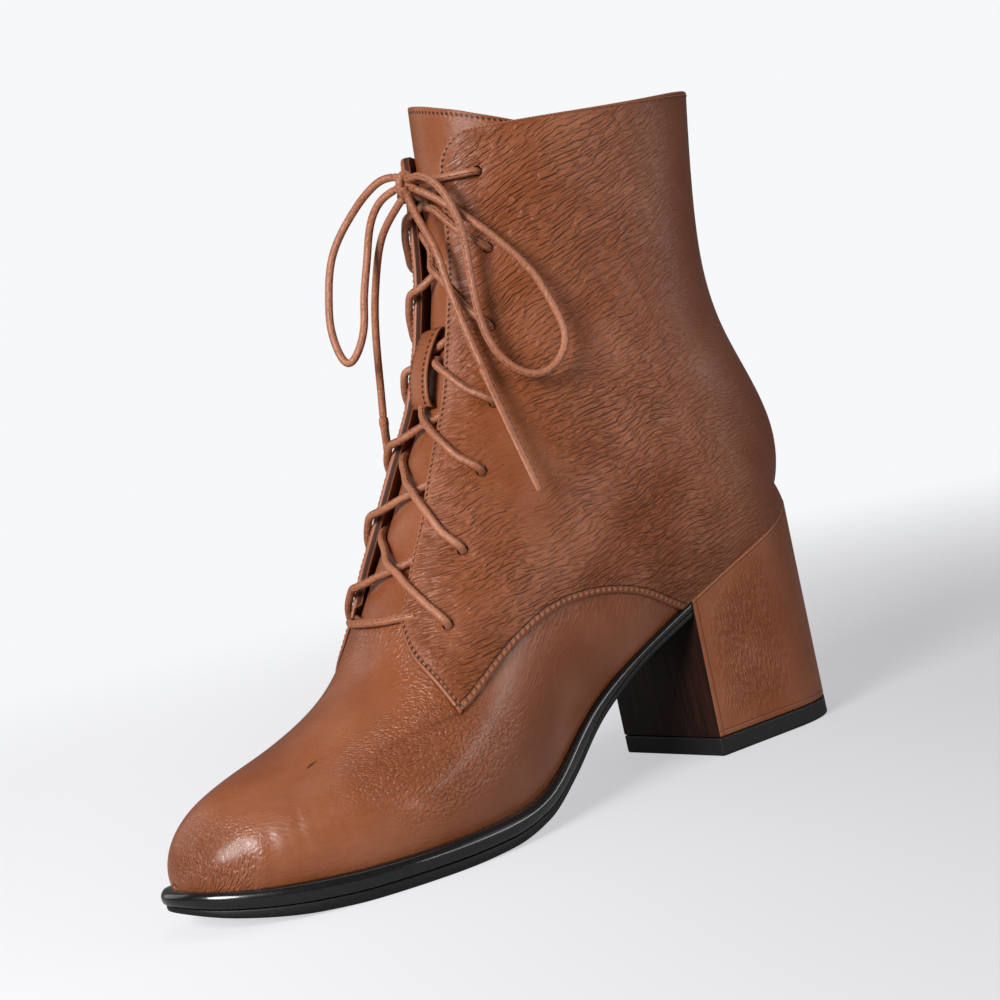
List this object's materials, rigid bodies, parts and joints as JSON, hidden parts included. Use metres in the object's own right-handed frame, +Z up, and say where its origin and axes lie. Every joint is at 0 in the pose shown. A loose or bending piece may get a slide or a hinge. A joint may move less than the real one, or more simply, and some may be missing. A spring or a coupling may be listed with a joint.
{
  "type": "lace-up ankle boot with a block heel",
  "caption": "Empty leather ankle boot with open-front lacing tied in a bow, a wide tongue, a rounded toe, a thin dark sole and a covered block heel",
  "frame": {"origin": "on the floor under the middle of the boot, without its free lace", "axes": "X across the foot with +X on its outer side, -Y towards the toe, +Z up"},
  "size_m": [0.0808, 0.2492, 0.2229],
  "materials": {
    "upper_leather": "tan full-grain leather, wrinkled grain, satin",
    "tongue_leather": "tan leather, smooth, satin",
    "insole_leather": "plain lining leather, matte",
    "midsole_black": "polished black edge",
    "outsole_black": "matte black",
    "heel_leather": "tan leather cover, satin",
    "lift_rubber": "matte black rubber",
    "keeper_leather": "tan leather strap with stitched edges",
    "lace_leather": "waxed round lace",
    "tip_leather": "flattened leather tip"
  },
  "bodies": {
    "root": {"upper": "upper_leather", "tongue": "tongue_leather", "insole": "insole_leather", "midsole": "midsole_black", "outsole": "outsole_black", "heel_block": "heel_leather", "top_lift": "lift_rubber", "lace_keeper": "keeper_leather", "lace_bar_bottom": "lace_leather", "lace_crossing_1": "lace_leather", "lace_crossing_2": "lace_leather", "lace_crossing_3": "lace_leather", "lace_crossing_4": "lace_leather", "lace_crossing_5": "lace_leather", "lace_crossing_6": "lace_leather", "lace_bar_top": "lace_leather", "bow_knot": "lace_leather", "bow_loop_lateral": "lace_leather", "bow_loop_medial": "lace_leather", "lace_end_lateral": "lace_leather", "lace_end_medial": "lace_leather", "lace_tip_lateral": "tip_leather", "lace_tip_medial": "tip_leather"}
  },
  "joints": []
}
